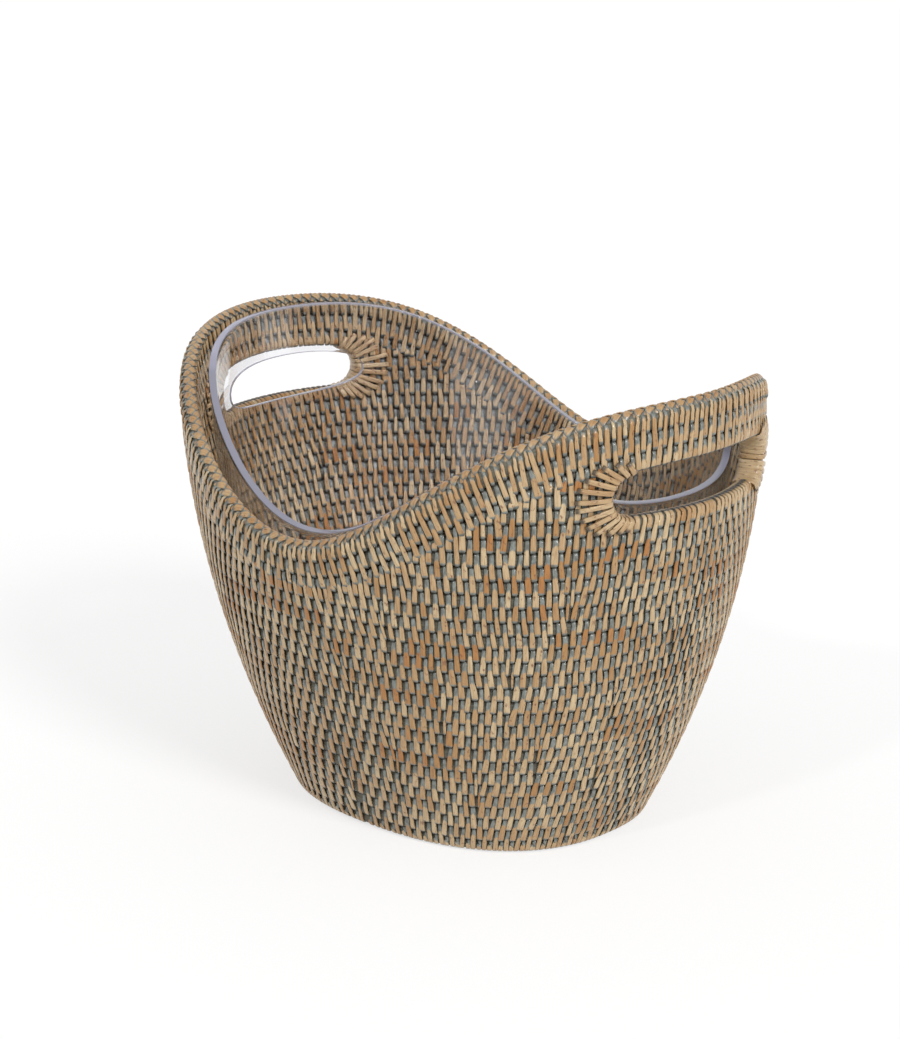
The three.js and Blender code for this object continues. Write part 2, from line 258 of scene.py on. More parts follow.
oval_angles = np.arange(OVAL_STEPS) * 2 * np.pi / OVAL_STEPS
oval_insets = CANE_INSET + OVAL_PITCH * np.arange(1, OVAL_COUNT + 1)
oval_size = (OVAL_MIDDLE, OVAL_HALF_HEIGHT, OVAL_PITCH / 2)
ovals = np.stack([cane_points(oval_angles, 0.0, inset, *oval_size) for inset in oval_insets])
base = add_canes("base_ovals", ovals, range(OVAL_COUNT), True)
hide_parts("woven_floor")

# Level canes
# The wall is canes laid one on another: hoops up to the low point of the saddle, then arcs that are pared to
# a point where the rim comes down on them, and short canes beside the hand holes.
COURSE_PITCH = 0.0085
CANE_FILL = 0.976  # share of its course that a cane's height takes
FOOT_CLEARANCE = 0.0011
SILL_COURSES = 26
GRIP_COURSE = 29
RIM_HIGH = 0.2854
RIM_LOW = 0.1965
RIM_FULLNESS = 2.71
RIM_CANES = 2
PLAIT_HEIGHT = 0.0032
RIM_PITCH_LOW = 0.00915
RIM_PITCH_HIGH = 0.01065
GRIP_PITCH = 0.0092
RIM_GAP = 0.0004
LEAST_HOOP = 0.003  # height that the rim leaves of the last full hoop, at the least
PARED_TIP = 0.0015
PARED_DEPTH = 0.005  # height under which a pared cane grows thinner through the wall too
HOLE_HALF_WIDTH = 0.065
HOLE_END_COVER = 0.003
HOOP_STEPS = 180
ARC_STEPS = 90
GRIP_STEPS = 60
SHORT_STEPS = 30
QUARTER = 0.25  # share of the girth between the middles of a high end and a low side
REACH_STEPS = 500
TABLE_STEPS = 2880
TABLE_LEVELS = 33
ENDS = (("right", 0.0, -1), ("left", 0.5, 1))  # name, share of the girth, and which way its front lies

table_angles = np.linspace(0, 2 * np.pi, TABLE_STEPS + 1)
table_loop = wall_point(table_angles, RIM_LOW, CANE_INSET, 0.0)
table_lengths = np.concatenate([[0], np.cumsum(np.linalg.norm(np.diff(table_loop, axis=0), axis=1))])
table_shares = table_lengths / table_lengths[-1]
table_heights = np.linspace(0, RIM_HIGH, TABLE_LEVELS)
table_rounds = wall_point(table_angles[None, :], table_heights[:, None], CANE_INSET, 0.0)
table_girths = np.linalg.norm(np.diff(table_rounds, axis=1), axis=2).sum(axis=1)


def angle_at(share):
    """Angle round the wall at a share of its girth, from a table of even steps along the wall."""
    return np.interp(share % 1.0, table_shares, table_angles)


def girth(height):
    """Length once round the wall, at a height."""
    return np.interp(height, table_heights, table_girths)


def share_across(y, z, inset):
    """Share of the girth, from a high end's middle, at which the wall is y across the bucket."""
    _, half_width, squareness = wall_half_axes(z)
    angle = np.arcsin((y / (half_width - inset)) ** (squareness / 2))
    return np.interp(angle, table_angles, table_shares)


def saddle(share, high, low, fullness=RIM_FULLNESS):
    """Value that runs as the rim does: low plus the rise times f u squared less f minus one times u cubed,
    where u is how far along the bucket the wall has come and f is the fullness."""
    along = np.abs(superellipse(angle_at(share), TOP_SQUARENESS)[0])
    return low + (high - low) * (fullness * along**2 - (fullness - 1) * along**3)


def rim_slope(share):
    """Rise of the rim for each metre along the wall, by a small step each way."""
    step = 0.0005  # share of the girth
    rise = saddle(share + step, RIM_HIGH, RIM_LOW) - saddle(share - step, RIM_HIGH, RIM_LOW)
    return rise / (2 * step * girth(RIM_LOW))


def under_rim(share, canes):
    """Height under the plait and so many rim canes: the rim less their thickness, which a slope stretches."""
    thickness = PLAIT_HEIGHT + canes * saddle(share, RIM_PITCH_HIGH, RIM_PITCH_LOW)
    return saddle(share, RIM_HIGH, RIM_LOW) - thickness * np.hypot(1, rim_slope(share))


def grip_bottom(share):
    """Underside of the grip cane: level beside the hand hole, and rising with the rim over it."""
    return np.maximum(GRIP_COURSE * COURSE_PITCH, under_rim(share, RIM_CANES) - GRIP_PITCH)


def rim_reach(height):
    """Share of the girth, from a high end's middle, at which the rim's underside comes down to a height."""
    shares = np.linspace(0, QUARTER, REACH_STEPS + 1)
    return np.interp(-height, -under_rim(shares, RIM_CANES), shares)


def add_cane(node, shares, bottom, top, is_ring):
    """Cane along the wall between two heights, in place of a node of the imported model."""
    middle = (bottom + top) / 2
    half_height = CANE_FILL * (top - bottom) / 2
    half_depth = CANE_HALF_DEPTH * np.minimum(1, (top - bottom) / PARED_DEPTH)
    points = cane_points(angle_at(shares), middle, CANE_INSET, middle, half_height, half_depth)
    piece = add_canes(f"{node}_rod", points[None], [sum(node.encode())], is_ring)
    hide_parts(node)


def level_heights(course, shares):
    """Bottom and top of a level cane, pared where the rim comes down on it and lifted clear at the foot."""
    bottom = np.full(shares.shape, max(course * COURSE_PITCH, FOOT_CLEARANCE))
    return bottom, np.minimum((course + 1) * COURSE_PITCH, under_rim(shares, RIM_CANES) - RIM_GAP)


ring_shares = np.arange(HOOP_STEPS) / HOOP_STEPS
lowest_seat = under_rim(np.array([QUARTER]), RIM_CANES)[0]
for course in range(SILL_COURSES):
    if lowest_seat - course * COURSE_PITCH > LEAST_HOOP:
        add_cane(f"cane_hoop_{course + 1:02d}", ring_shares, *level_heights(course, ring_shares), True)
    else:
        tip = rim_reach(course * COURSE_PITCH + PARED_TIP)
        for end, middle_share, _ in ENDS:
            shares = middle_share + np.linspace(-tip, tip, ARC_STEPS)
            add_cane(f"{end}_cane_arc_{course + 1:02d}", shares, *level_heights(course, shares), False)

for course in range(SILL_COURSES, GRIP_COURSE):
    hole_end = share_across(HOLE_HALF_WIDTH + HOLE_END_COVER, course * COURSE_PITCH, CANE_INSET)
    tip = rim_reach(course * COURSE_PITCH + PARED_TIP)
    for end, middle_share, front in ENDS:
        for side, sign in (("front", front), ("back", -front)):
            node = f"{end}_{side}_short_cane_{course + 1:02d}"
            shares = middle_share + np.sort(sign * np.linspace(hole_end, tip, SHORT_STEPS))
            add_cane(node, shares, *level_heights(course, shares), False)

# Rim canes and grip canes
# Two canes follow the saddle all the way round under the plait, and thicken over the hand grips. A third
# arches over each hand hole and is pared out under them at both ends.
for number in range(1, RIM_CANES + 1):
    top = under_rim(ring_shares, number - 1)
    add_cane(f"rim_cane_{number:02d}", ring_shares, under_rim(ring_shares, number), top, True)

grip_tip = rim_reach(GRIP_COURSE * COURSE_PITCH + PARED_TIP)
for end, middle_share, _ in ENDS:
    shares = middle_share + np.linspace(-grip_tip, grip_tip, GRIP_STEPS)
    add_cane(f"{end}_grip_cane", shares, grip_bottom(shares), under_rim(shares, RIM_CANES) - RIM_GAP, False)

# Wall binding
# Strips split from the skin of the rattan bind each cane to the one below. Each goes over two canes outside
# and again inside, and the next course's strips stand between them, so the wall looks like long bricks.
# Where the wall flares, new pairs of strips are let in between the others, so that all stay alike in width.
COLUMNS = 276  # strips side by side round the wall under the rim, both courses counted
FOOT_COLUMNS = 184  # the same at the foot
LET_IN = 0.050  # height over which a new pair grows to its full width
LAST_LET_IN = 0.150
LET_IN_SEED = 17
LET_IN_SPREAD = (0.1, 0.9)  # where in its share of the columns a new pair may stand
LEVEL_COUNT = 69
LAST_PLACE = LEVEL_COUNT - 1.001  # in levels, just under the last one
LEAST_GROWN = 0.40  # of a full width, under which a strip is left out
SHORTEST_STRIP = 0.0075
END_GAP = 0.0004
# Width down a strip as a share of its room: its lower half overlaps its neighbours' upper halves.
STRIP_SHARES = np.array([0.70, 0.72, 0.74, 0.78, 0.86, 0.92, 0.93, 0.86, 0.60])
WIDTH_SPREAD = 0.08
# How far a strip is pushed aside down its length, by the neighbour that overlaps its upper half.
MOST_PUSH = 0.0009
STRIP_PUSH = MOST_PUSH * np.array([1.0, 1.0, 0.95, 0.8, 0.3, 0.0, -0.1, -0.4, -0.9])
STRIP_LEAN = 2.6  # degrees
STRIP_WANDER = 0.0002
PEEL_THICKNESS = 0.0007
WOVEN_THICKNESS = 0.0122
STRIP_BACK_HIGH = 0.0026  # from the wall's outer face to a strip's back, at its upper end
STRIP_BACK_LOW = 0.0002  # the same at its lower end, which overlaps the next one
GROOVE_DIP = 0.0002
UPPER_BEND = 0.0032  # height of the curve with which a strip comes out of a groove
LOWER_BEND = 0.0038  # the same where it goes into the next
TUCK_REACH = np.radians(78)
WRAP_REACH = np.radians(90)
SHOULDER = np.array([1.0, 0.7, 0.36, 0.0])
PEEL_SECTION = np.array([(-0.5, 0.0), (-0.44, 0.78), (-0.3, 1.0), (0.3, 1.0), (0.44, 0.78), (0.5, 0.0)])
GREY_REACH = 0.0068
GREY_LIMIT = 0.42  # of a strip's length
GREY_SPREAD = (0.8, 1.15)
SILL_GREY = 0.0010
RUN_LENGTHS = (2, 8)  # strips cut from one length of peel: from the first to under the second
TONES = (0.1, 0.3, 0.45, 0.62, 0.85)  # from pale to russet
TONE_ODDS = (0.27, 0.28, 0.21, 0.15, 0.09)
TONE_SPREAD = 0.13
HOLE_MARGIN = 0.001
ROOF_MARGIN = 0.001
LOOKS_SEED = 100  # more than the seed of a row's shapes
UNDER_RIM_SEED = 99

# Rattan peel: hard, smooth skin with fine fibres and brown leaf scars, washed grey, rubbed and varnished,
# with painted shade at the ends where they tuck into the grooves.
PEEL_PALE = "ceb790"
PEEL_TAN = "bd9d71"
PEEL_HONEY = "af844e"
PEEL_RUSSET = "b0783a"
PEEL_GREY = "868c87"
PEEL_SLATE = "63655d"
PEEL_BROWN = "74462a"
# dark colour of the painted shade in the grooves
PEEL_SHADE_COLOUR = "332e27"
TONE_STEPS = (((0.0, 0.4), PEEL_TAN), ((0.4, 0.75), PEEL_HONEY), ((0.75, 1.0), PEEL_RUSSET))
PEEL_FIBRE_LENGTH = 0.007
PEEL_FIBRE_ROWS = 2.6  # across half a strip; real fibres are finer, but would not show
PEEL_FIBRE_DETAIL = 3.0
FIBRE_SEED_STEP = 87.0  # noise cells between one strip's seed and the next
PEEL_LINE_NOISE = (0.38, 0.72)  # noise from which the lines go from none to their most
PEEL_LINE_MOST = 0.5
PEEL_LINE_RELIEF = 0.5
PEEL_LINE_HEIGHT = 0.00025
PEEL_SCAR_LENGTH = 0.0032
PEEL_SCAR_ROWS = 1.0
PEEL_SCAR_DETAIL = 4.0
SCAR_SEED_STEP = 53.0
SCAR_NOISE = (0.61, 0.70)
SCAR_MOST = 0.8
NO_WASH = -0.002  # reach of the wash on the lashings' strips, which have none
LASHING_SCARS = 0.03  # more noise for the scars of those
TONGUE_ROUNDING = 0.0014  # how much further the wash reaches along a strip's edges than along its middle
RUB_UNEVENNESS = 0.004
NOISE_MIDDLE = 0.5
WASH_FADE = (-0.0005, 0.0006)  # past its reach
TIP_WASH = (0.0028, 0.0036)  # from the lower end
WORN_NOISE = (0.35, 0.62)
# painted groove shade: the spans from each end over which it fades out, and its strength
START_SHADE_SPAN = (0.0014, 0.0030)
END_SHADE_SPAN = (0.0015, 0.0028)
GROOVE_SHADE_MOST = 0.85
PEEL_ROUGHNESS = 0.5
VARNISH = 0.45
VARNISH_ROUGHNESS = 0.14
split_peel, output = new_material("varnished_rattan_peel")
place = add_node(split_peel, "ShaderNodeSeparateXYZ", {0: mesh_vector(split_peel, "peel_place")})
kind = add_node(split_peel, "ShaderNodeSeparateXYZ", {0: mesh_vector(split_peel, "peel_kind")})
from_middle, from_start, to_end = place.outputs
tone, strip_seed, wash_reach = kind.outputs
spot = add_node(split_peel, "ShaderNodeCombineXYZ", {0: from_middle, 1: from_start, 2: strip_seed}).outputs[0]
fibre_size = (PEEL_FIBRE_ROWS, 1 / PEEL_FIBRE_LENGTH, FIBRE_SEED_STEP)
lines = noise(split_peel, stretched(split_peel, spot, fibre_size), PEEL_FIBRE_DETAIL)
scar_size = (PEEL_SCAR_ROWS, 1 / PEEL_SCAR_LENGTH, SCAR_SEED_STEP)
scars = noise(split_peel, stretched(split_peel, spot, scar_size), PEEL_SCAR_DETAIL)

bare = linear(PEEL_PALE)
for span, colour in TONE_STEPS:
    bare = blend(split_peel, ramp(split_peel, tone, span), bare, linear(colour))
line_share = ramp(split_peel, lines, PEEL_LINE_NOISE, 0.0, PEEL_LINE_MOST)
lined = blend(split_peel, line_share, bare, linear(PEEL_HONEY), blend_type="MULTIPLY")
# Strips with no wash at all, in the lashings, keep more of their scars.
lashing_scars = ramp(split_peel, wash_reach, (NO_WASH, 0.0), LASHING_SCARS, 0.0)
scar_share = ramp(split_peel, maths(split_peel, "ADD", scars, lashing_scars), SCAR_NOISE, 0.0, SCAR_MOST)
scarred = blend(split_peel, scar_share, lined, linear(PEEL_BROWN))
# The wash stays where rubbing doesn't reach: at the tucked ends, and along the edges at the upper one.
rounding = maths(split_peel, "MULTIPLY", from_middle, from_middle)
edge_reach = maths(split_peel, "MULTIPLY_ADD", rounding, TONGUE_ROUNDING, wash_reach)
rub = maths(split_peel, "SUBTRACT", lines, NOISE_MIDDLE)
rubbed_reach = maths(split_peel, "MULTIPLY_ADD", rub, RUB_UNEVENNESS, edge_reach)
past_wash = maths(split_peel, "SUBTRACT", from_start, rubbed_reach)
upper_wash = ramp(split_peel, past_wash, WASH_FADE, 1.0, 0.0)
lower_wash = ramp(split_peel, to_end, TIP_WASH, 1.0, 0.0)
wash = maths(split_peel, "MAXIMUM", upper_wash, lower_wash)
grey = blend(split_peel, ramp(split_peel, scars, WORN_NOISE), linear(PEEL_GREY), linear(PEEL_SLATE))
washed = blend(split_peel, wash, scarred, grey)
# Painted shade: each strip darkens towards both ends, where they tuck into the grooves.
start_shade = ramp(split_peel, from_start, START_SHADE_SPAN, GROOVE_SHADE_MOST, 0.0)
end_shade = ramp(split_peel, to_end, END_SHADE_SPAN, GROOVE_SHADE_MOST, 0.0)
groove_shade = maths(split_peel, "MAXIMUM", start_shade, end_shade)
shader = add_node(
    split_peel,
    "ShaderNodeBsdfPrincipled",
    {
        "Base Color": blend(split_peel, groove_shade, washed, linear(PEEL_SHADE_COLOUR)),
        "Roughness": PEEL_ROUGHNESS,
        "Coat Weight": VARNISH,
        "Coat Roughness": VARNISH_ROUGHNESS,
        "Normal": bump(split_peel, lines, PEEL_LINE_RELIEF, PEEL_LINE_HEIGHT),
    },
)
split_peel.node_tree.links.new(shader.outputs[0], output.inputs[0])


def unit(vectors):
    """Vectors divided by their lengths."""
    return vectors / np.linalg.norm(vectors, axis=-1, keepdims=True)


def strip_points(backs, across, widths, is_ring=False):
    """Flat crowned sections along strips: at each station of a strip's back the section lies along the across
    direction, made square to the path, and stands up on the side that path and across point to."""
    if is_ring:
        path = np.roll(backs, -1, axis=1) - np.roll(backs, 1, axis=1)
    else:
        path = np.gradient(backs, axis=1)
    path = unit(path)
    across = unit(across - path * (across * path).sum(axis=-1, keepdims=True))
    outward = np.cross(path, across)
    sideways = across[:, :, None] * (PEEL_SECTION[:, 0] * widths[..., None])[..., None]
    raised = outward[:, :, None] * (PEEL_SECTION[:, 1] * PEEL_THICKNESS)[:, None]
    return backs[:, :, None] + sideways + raised


def strip_path(top, bottom, top_bend, bottom_bend, top_reach, bottom_reach):
    """Stations down each strip: out of the groove above along a cane's superellipse, over its crown, a slight
    dip, and over the lowest cane's crown into the groove below. Gives heights and depths behind the crown."""
    upper = np.broadcast_to(top_reach, top.shape)[:, None] * SHOULDER
    lower = np.broadcast_to(bottom_reach, top.shape)[:, None] * SHOULDER[::-1]
    high = top[:, None] - top_bend * (1 - np.sin(upper) ** cane_power)
    low = bottom[:, None] + bottom_bend * (1 - np.sin(lower) ** cane_power)
    halfway = (high[:, -1:] + low[:, :1]) / 2
    heights = np.concatenate([high, halfway, low], axis=1)
    high_depth = CANE_HALF_DEPTH * (1 - np.cos(upper) ** cane_power)
    low_depth = CANE_HALF_DEPTH * (1 - np.cos(lower) ** cane_power)
    depths = np.concatenate([high_depth, np.full(halfway.shape, GROOVE_DIP), low_depth], axis=1)
    return heights, depths


def colour_runs(count, generator):
    """Tone of each strip: about the same along runs of a few strips cut from one length of peel."""
    lengths = generator.integers(*RUN_LENGTHS, count)
    run = np.searchsorted(np.cumsum(lengths), np.arange(count), side="right")
    tones = generator.choice(TONES, count, p=TONE_ODDS)
    return np.clip(tones[run] + generator.normal(0, TONE_SPREAD, count), 0, 1)


def wall_points(shares, heights, insets):
    """Points on the wall at shares of its girth, heights and insets."""
    return wall_point(angle_at(shares), heights, insets, heights)


def path_lengths(lines):
    """Metres from the first station of each strip to each of its stations."""
    steps = np.linalg.norm(np.diff(lines, axis=1), axis=2)
    return np.concatenate([np.zeros((len(lines), 1)), np.cumsum(steps, axis=1)], axis=1)


def peel_places(reached, left):
    """Per point of a strip: half widths from its middle, metres from its start, and metres to its end."""
    return np.stack(np.broadcast_arrays(2 * PEEL_SECTION[:, 0], reached, left), axis=-1)


def peel_kinds(tones, seeds, greys):
    """Per strip: its tone, its seed, and how far the wash reaches down it."""
    return np.stack(np.broadcast_arrays(tones, seeds, greys), axis=-1)


def add_peel(name, points, places, kinds, is_ring=False):
    """Piece of strips of peel, with the places and kinds of their points."""
    faces = sweep_faces(len(points), points.shape[1], len(PEEL_SECTION), is_ring)
    kinds = np.broadcast_to(kinds, points.shape)
    return add_piece(name, points, faces, "basket", "peel", split_peel, peel_place=places, peel_kind=kinds)


def add_strips(name, shares, heights, depths, widths, tones, seed, grey=GREY_REACH, sunk=0.0):
    """Strips bound over the wall's outer face and, mirrored in the middle of its thickness, its inner face.
    Shares, heights and depths have a row for each strip and a column for each station."""
    generator = np.random.default_rng(seed)
    count, stations = heights.shape
    backs = np.linspace(STRIP_BACK_HIGH, STRIP_BACK_LOW, stations) + depths + sunk
    beside = 0.0004  # share of the girth, to find which way the wall runs
    points = []
    places = []
    kinds = []
    for insets, sign in ((backs, 1), (WOVEN_THICKNESS - backs, -1)):
        lines = wall_points(shares, heights, insets)
        turned = wall_points(shares + beside, heights, insets) - wall_points(shares - beside, heights, insets)
        points.append(strip_points(lines, sign * turned, widths))
        reached = path_lengths(lines)[..., None]
        places.append(peel_places(reached, reached[:, -1:] - reached))
        greys = np.minimum(grey, GREY_LIMIT * reached[:, -1, 0]) * generator.uniform(*GREY_SPREAD, count)
        kinds.append(peel_kinds(tones, generator.random(count), greys)[:, None, None])
    add_peel(name, np.concatenate(points), np.concatenate(places), np.concatenate(kinds))


generator = np.random.default_rng(LET_IN_SEED)
new_pairs = (COLUMNS - FOOT_COLUMNS) // 2
blocks = np.arange(new_pairs) + generator.uniform(*LET_IN_SPREAD, new_pairs)
late_pairs = (blocks * COLUMNS / 2 / new_pairs).astype(int)
counts = FOOT_COLUMNS + 2 * np.arange(1, new_pairs + 1)
starts = np.interp(girth(LAST_LET_IN) * counts / COLUMNS, table_girths, table_heights)
# The golden section spreads the new pairs evenly round the wall at every height.
order = np.argsort(np.argsort(np.arange(new_pairs) * (np.sqrt(5) - 1) / 2 % 1))
pair_starts = np.full(COLUMNS // 2, -np.inf)
pair_starts[late_pairs] = starts[order]
column = np.arange(COLUMNS)
levels = np.linspace(0, RIM_HIGH, LEVEL_COUNT)
grown = np.clip((levels[:, None] - pair_starts[column // 2]) / LET_IN, 0, 1)
column_rooms = grown / grown.sum(axis=1, keepdims=True)
column_middles = np.cumsum(column_rooms, axis=1) - column_rooms / 2


def along_column(table, columns, heights):
    """Value in a table of levels and columns at heights up some columns, by straight lines between levels."""
    place = np.clip(heights / levels[1], 0, LAST_PLACE)
    below = place.astype(int)
    share = place - below
    return table[below, columns] * (1 - share) + table[below + 1, columns] * share


def column_place(columns):
    """Function of heights that gives the shares and the rooms of upright columns there."""

    def place(heights):
        rooms = along_column(column_rooms, columns[:, None], heights) * girth(heights)
        return along_column(column_middles, columns[:, None], heights), rooms

    return place


def stand_strips(place, top, bottom, top_reach, bottom_reach, seed):
    """Shares, heights, depths, widths and tones of strips that stand in columns, each a bit out of true."""
    generator = np.random.default_rng(seed)
    count = len(top)
    heights, depths = strip_path(top, bottom, UPPER_BEND, LOWER_BEND, top_reach, bottom_reach)
    shares, rooms = place(heights)
    lean = np.tan(np.radians(generator.normal(0, STRIP_LEAN, count)))[:, None]
    lateral = generator.normal(0, STRIP_WANDER, count)[:, None] + STRIP_PUSH
    lateral = lateral + lean * (heights - heights.mean(axis=1)[:, None])
    widths = rooms * STRIP_SHARES * generator.normal(1, WIDTH_SPREAD, count)[:, None]
    return shares + lateral / girth(heights), heights, depths, widths, colour_runs(count, generator)


def over_hole(shares):
    """True at shares of the girth that stand over or under a hand hole."""
    points = wall_points(shares, np.full(shares.shape, sill), np.full(shares.shape, CANE_INSET))
    x, y, _ = np.moveaxis(points, -1, 0)
    return (np.abs(y) < HOLE_HALF_WIDTH - HOLE_MARGIN) & (np.abs(x) > HOLE_HALF_WIDTH)


sill = SILL_COURSES * COURSE_PITCH
column_shares = column_middles[-1]
in_hole = over_hole(column_shares)
roof = under_rim(column_shares, RIM_CANES)
ceiling = np.where(in_hole, SILL_COURSES, np.minimum((roof - ROOF_MARGIN) // COURSE_PITCH, GRIP_COURSE))
# Highest boundary of each column's own courses that the rim leaves free.
own_boundary = ceiling - (ceiling + column + 1) % 2
is_joined = ~in_hole & (roof - own_boundary * COURSE_PITCH < SHORTEST_STRIP)

for boundary in range(1, GRIP_COURSE + 1):
    # Two courses long from each boundary, in every other column; one course long at the foot and the sills.
    own = column % 2 == (boundary + 1) % 2
    rooms = along_column(column_rooms, column, np.full(COLUMNS, (boundary - 1) * COURSE_PITCH))
    at_sill = in_hole & (boundary == SILL_COURSES)
    chosen = own & (ceiling >= boundary) & (rooms > LEAST_GROWN * rooms.max()) | at_sill
    to_rim = is_joined & (boundary == own_boundary)
    lower = np.where(own, max(boundary - 2, 0), boundary - 1)[chosen]
    strips = stand_strips(
        column_place(column[chosen]),
        np.where(to_rim, roof, boundary * COURSE_PITCH)[chosen],
        np.where(lower == 0, FOOT_CLEARANCE, lower * COURSE_PITCH + END_GAP),
        np.where(at_sill[chosen], WRAP_REACH, TUCK_REACH),
        np.where(lower == 0, WRAP_REACH, TUCK_REACH),
        boundary,
    )
    grey = np.where(at_sill[chosen], SILL_GREY, GREY_REACH)
    add_strips(f"binding_course_{boundary:02d}", *strips, LOOKS_SEED + boundary, grey=grey)

chosen = ~in_hole & ~is_joined
strips = stand_strips(
    column_place(column[chosen]),
    roof[chosen],
    own_boundary[chosen] * COURSE_PITCH + END_GAP,
    TUCK_REACH,
    TUCK_REACH,
    UNDER_RIM_SEED,
)
add_strips("binding_under_rim", *strips, LOOKS_SEED + UNDER_RIM_SEED)

# Rim binding
# The rim's canes are bound the same way, leaning with their slope and closer together: short strips over the
# upper cane, longer ones between them over both, and a row that comes down over the wall's own strips.
RIM_STEPS = 1440
RIM_ROOM = 0.0036  # from one strip to the next along the rim
RIM_LEAN = 0.6  # how far a strip leans with the slope: 1 is square to it
RIM_LAP = 0.007  # how far the lowest row comes down over the wall's strips
RIM_TONE = 0.80  # the rim's strips are paler than the wall's
RIM_GREY = 0.0052
RIM_SEED = 200
SHORT_GREY = 0.0034
SHORT_WIDE = 0.74  # width of the short strips against a wall strip's
LONG_WIDE = 1.02
LONG_SUNK = 0.0003  # how much deeper the long strips lie
LONG_OPENING = 0.0006  # and how far under the plait they start
rim_shares = np.linspace(0, 1, RIM_STEPS + 1)
rim_crest = saddle(rim_shares, RIM_HIGH, RIM_LOW)
rim_line = wall_points(rim_shares, rim_crest, np.full(rim_shares.shape, CANE_INSET))
rim_lengths = path_lengths(rim_line[None])[0]
rim_columns = 2 * round(rim_lengths[-1] / RIM_ROOM / 2)
top_lengths = (np.arange(rim_columns) + 0.5) / rim_columns * rim_lengths[-1]
top_shares = np.interp(top_lengths, rim_lengths, rim_shares)
top_heights = saddle(top_shares, RIM_HIGH, RIM_LOW)
top_slopes = rim_slope(top_shares)


def rim_drop(canes, lap=0.0):
    """Height under so many rim canes, and a lap more, down each leaning strip: the thickness times the
    slope's stretch, over one plus the lean times the slope squared."""
    thickness = PLAIT_HEIGHT + canes * saddle(top_shares, RIM_PITCH_HIGH, RIM_PITCH_LOW) + lap
    return top_heights - thickness * np.hypot(1, top_slopes) / (1 + RIM_LEAN * top_slopes**2)


def add_rim_row(name, number, chosen, ends, reaches, wide=1.0, **looks):
    """Row of strips in the chosen columns of the rim, leaning with its slope. The ends are the heights of
    every column's top and bottom, and the reaches say how far round a cane the strips go there."""

    def place(heights):
        down = top_heights[chosen][:, None] - heights
        shares = top_shares[chosen][:, None] + RIM_LEAN * top_slopes[chosen][:, None] * down / girth(heights)
        return shares, RIM_ROOM

    top, bottom = (heights[chosen] for heights in ends)
    top_reach, bottom_reach = (np.broadcast_to(reach, rim_columns)[chosen] for reach in reaches)
    seed = RIM_SEED + number
    strips = stand_strips(place, top, bottom, top_reach, bottom_reach, seed)
    shares, heights, depths, widths, tones = strips
    add_strips(name, shares, heights, depths, wide * widths, RIM_TONE * tones, seed, **looks)


rim_seat = rim_drop(0)
rim_first = rim_drop(1)
rim_second = rim_drop(RIM_CANES)
is_even = np.arange(rim_columns) % 2 == 0
over_grip = over_hole(top_shares)
grip_edge = grip_bottom(top_shares)
lap_end = np.where(over_grip, grip_edge, rim_drop(RIM_CANES, RIM_LAP))
lap_reach = np.where(over_grip, WRAP_REACH, TUCK_REACH)
from_plait = (WRAP_REACH, TUCK_REACH)
add_rim_row("rim_short_row", 1, is_even, (rim_seat, rim_first), from_plait, SHORT_WIDE, grey=SHORT_GREY)
long_ends = (rim_seat - LONG_OPENING, rim_second)
add_rim_row("rim_long_row", 2, ~is_even, long_ends, from_plait, LONG_WIDE, grey=RIM_GREY, sunk=LONG_SUNK)
add_rim_row("rim_lap_row", 3, is_even, (rim_first, lap_end), (TUCK_REACH, lap_reach))
add_rim_row("rim_grip_row", 4, ~is_even & over_grip, (rim_second, grip_edge), (TUCK_REACH, WRAP_REACH))

# Rim plait
# A flat plait of three peel strips covers the top of the upper rim cane all the way round.
PLAIT_STRANDS = 3
PLAIT_PERIOD = 0.0204  # along the rim, for a strip to go to and fro once
PLAIT_STEPS = 18
PLAIT_INSET = 0.0072  # from the wall's outer face to the middle of the plait, which lies towards the inside
PLAIT_SWAY = 0.0029
PLAIT_STRIP_WIDTH = 0.0043
PLAIT_DEPTH = 0.0016  # from the top of the plait to the backs of its strips
PLAIT_RISE = 0.0007
PLAIT_DOME = 0.0021
FOLD_SHARPNESS = 0.93
PLAIT_GREY = 0.0026
PLAIT_LEG = 0.0114  # length of a strip between folds
PLAIT_FOLD_SHIFT = 0.0018  # how much further than it is from a fold a point counts, so that less is grey and less painted shade lies there
PLAIT_TICK = 0.0023  # metres to its end that the under half of a leg counts as: grey, and a bit darker with painted shade
PLAIT_TONES = (0.3, 0.75)
PLAIT_TONE_STOPS = 48
PLAIT_SEED = 31
PLAIT_SEED_RUN = 10  # periods in which a strip's seed goes on by one
plait_line = wall_points(rim_shares, rim_crest - PLAIT_DEPTH, np.full(rim_shares.shape, PLAIT_INSET))
plait_lengths = path_lengths(plait_line[None])[0]
stations = round(plait_lengths[-1] / PLAIT_PERIOD) * PLAIT_STEPS
reached = np.arange(stations) * plait_lengths[-1] / stations
line = np.stack([np.interp(reached, plait_lengths, plait_line[:, axis]) for axis in range(3)], axis=1)
forward = unit(np.roll(line, -1, axis=0) - np.roll(line, 1, axis=0))
outward = unit(np.cross(forward, (0, 0, 1)))
upward = np.cross(outward, forward)
strand = np.arange(PLAIT_STRANDS)[:, None]
phase = 2 * np.pi * (np.arange(stations) / PLAIT_STEPS + strand / PLAIT_STRANDS)
